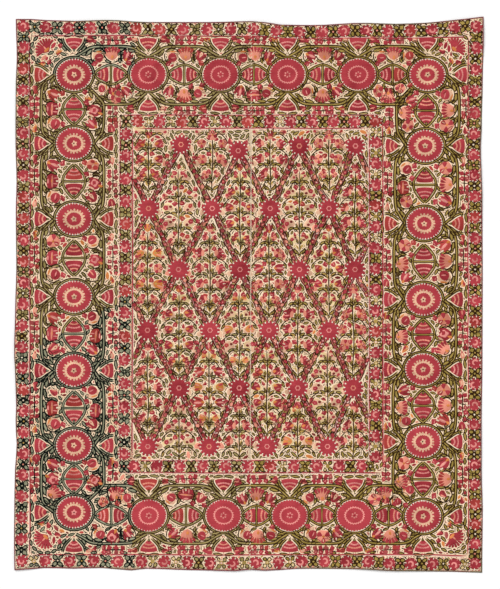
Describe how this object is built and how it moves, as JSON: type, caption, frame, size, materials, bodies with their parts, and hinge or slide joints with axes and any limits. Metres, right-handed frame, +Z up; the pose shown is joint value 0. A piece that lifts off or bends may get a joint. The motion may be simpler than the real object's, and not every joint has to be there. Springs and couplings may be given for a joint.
{
  "type": "suzani embroidered cover laid flat",
  "caption": "Large rectangular embroidered cotton cover of sewn loom widths with a narrow edge braid, lying flat; used as a bed cover, spread or hanging.",
  "frame": {"origin": "under the middle of the cover's box, on the surface that it lies on", "axes": "+Z up out of the embroidered face, +Y towards the head of the cover, +X to the right as seen from above"},
  "size_m": [1.8782, 2.2242, 0.0095],
  "materials": {
    "cotton_ground": "hand-woven plain weave, unbleached, with dense silk stitching",
    "edge_braid": "narrow woven silk braid, matt",
    "silk_stitching": "couched silk floss in crimson, salmon, peach, mustard, olive and green, soft sheen"
  },
  "bodies": {
    "root": {"panel_1": "cotton_ground", "panel_2": "cotton_ground", "panel_3": "cotton_ground", "panel_4": "cotton_ground", "braid_left": "edge_braid", "braid_right": "edge_braid", "braid_head": "edge_braid", "braid_foot": "edge_braid"}
  },
  "joints": []
}
